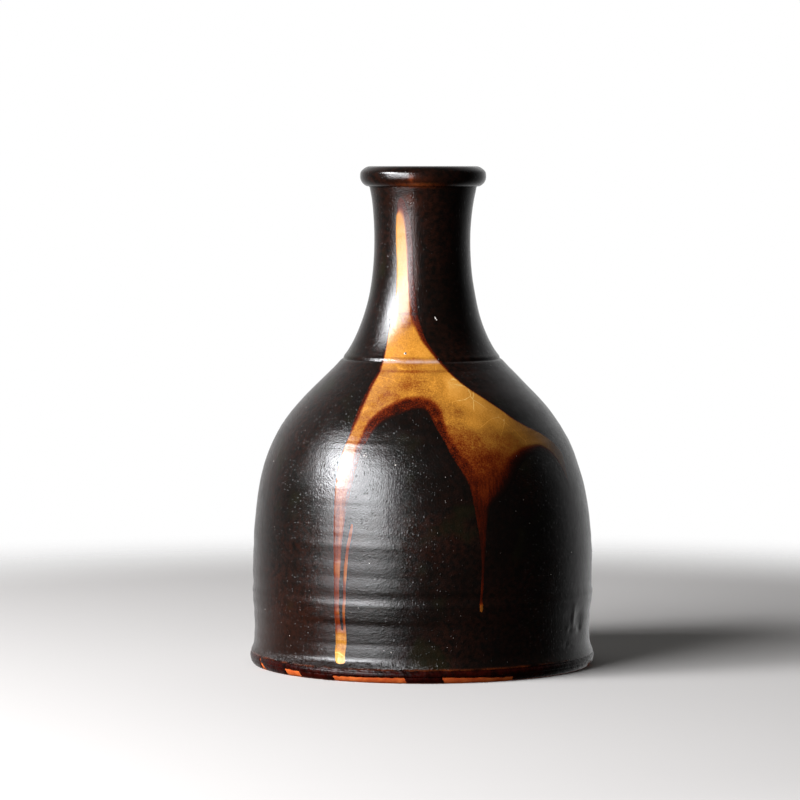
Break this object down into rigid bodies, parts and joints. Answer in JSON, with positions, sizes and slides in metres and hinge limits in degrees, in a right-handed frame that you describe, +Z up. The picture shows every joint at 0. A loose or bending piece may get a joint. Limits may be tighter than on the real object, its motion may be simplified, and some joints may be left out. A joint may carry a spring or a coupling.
{
  "type": "sake bottle",
  "caption": "Wheel-thrown stoneware bottle with a broad upright belly, sloping shoulder, tapering neck, rolled lip and a poured amber glaze over dark brown.",
  "frame": {"origin": "centre of the foot ring, on the plane that the bottle stands on", "axes": "+Z up the bottle's axis through the mouth, -Y towards the side that carries the amber run, +X to that side's right"},
  "size_m": [0.118, 0.118, 0.17],
  "materials": {
    "clay": "bare orange stoneware clay, dry and slightly gritty",
    "iron_slip": "dark red-brown iron slip, satin, rubbed through in patches",
    "dark_glaze": "near-black brown iron glaze, semi-matte with fine orange peel and specks",
    "liner_glaze": "dark brown glaze, semi-matte",
    "amber_glaze": "glossy amber run glaze with rust edges and fine crackle"
  },
  "bodies": {
    "root": {"base": "clay", "belly_wall": "clay", "neck": "clay", "rolled_lip": "clay", "foot_slip": "iron_slip", "outer_glaze": "dark_glaze", "liner_glaze": "liner_glaze", "amber_pour": "amber_glaze"}
  },
  "joints": []
}
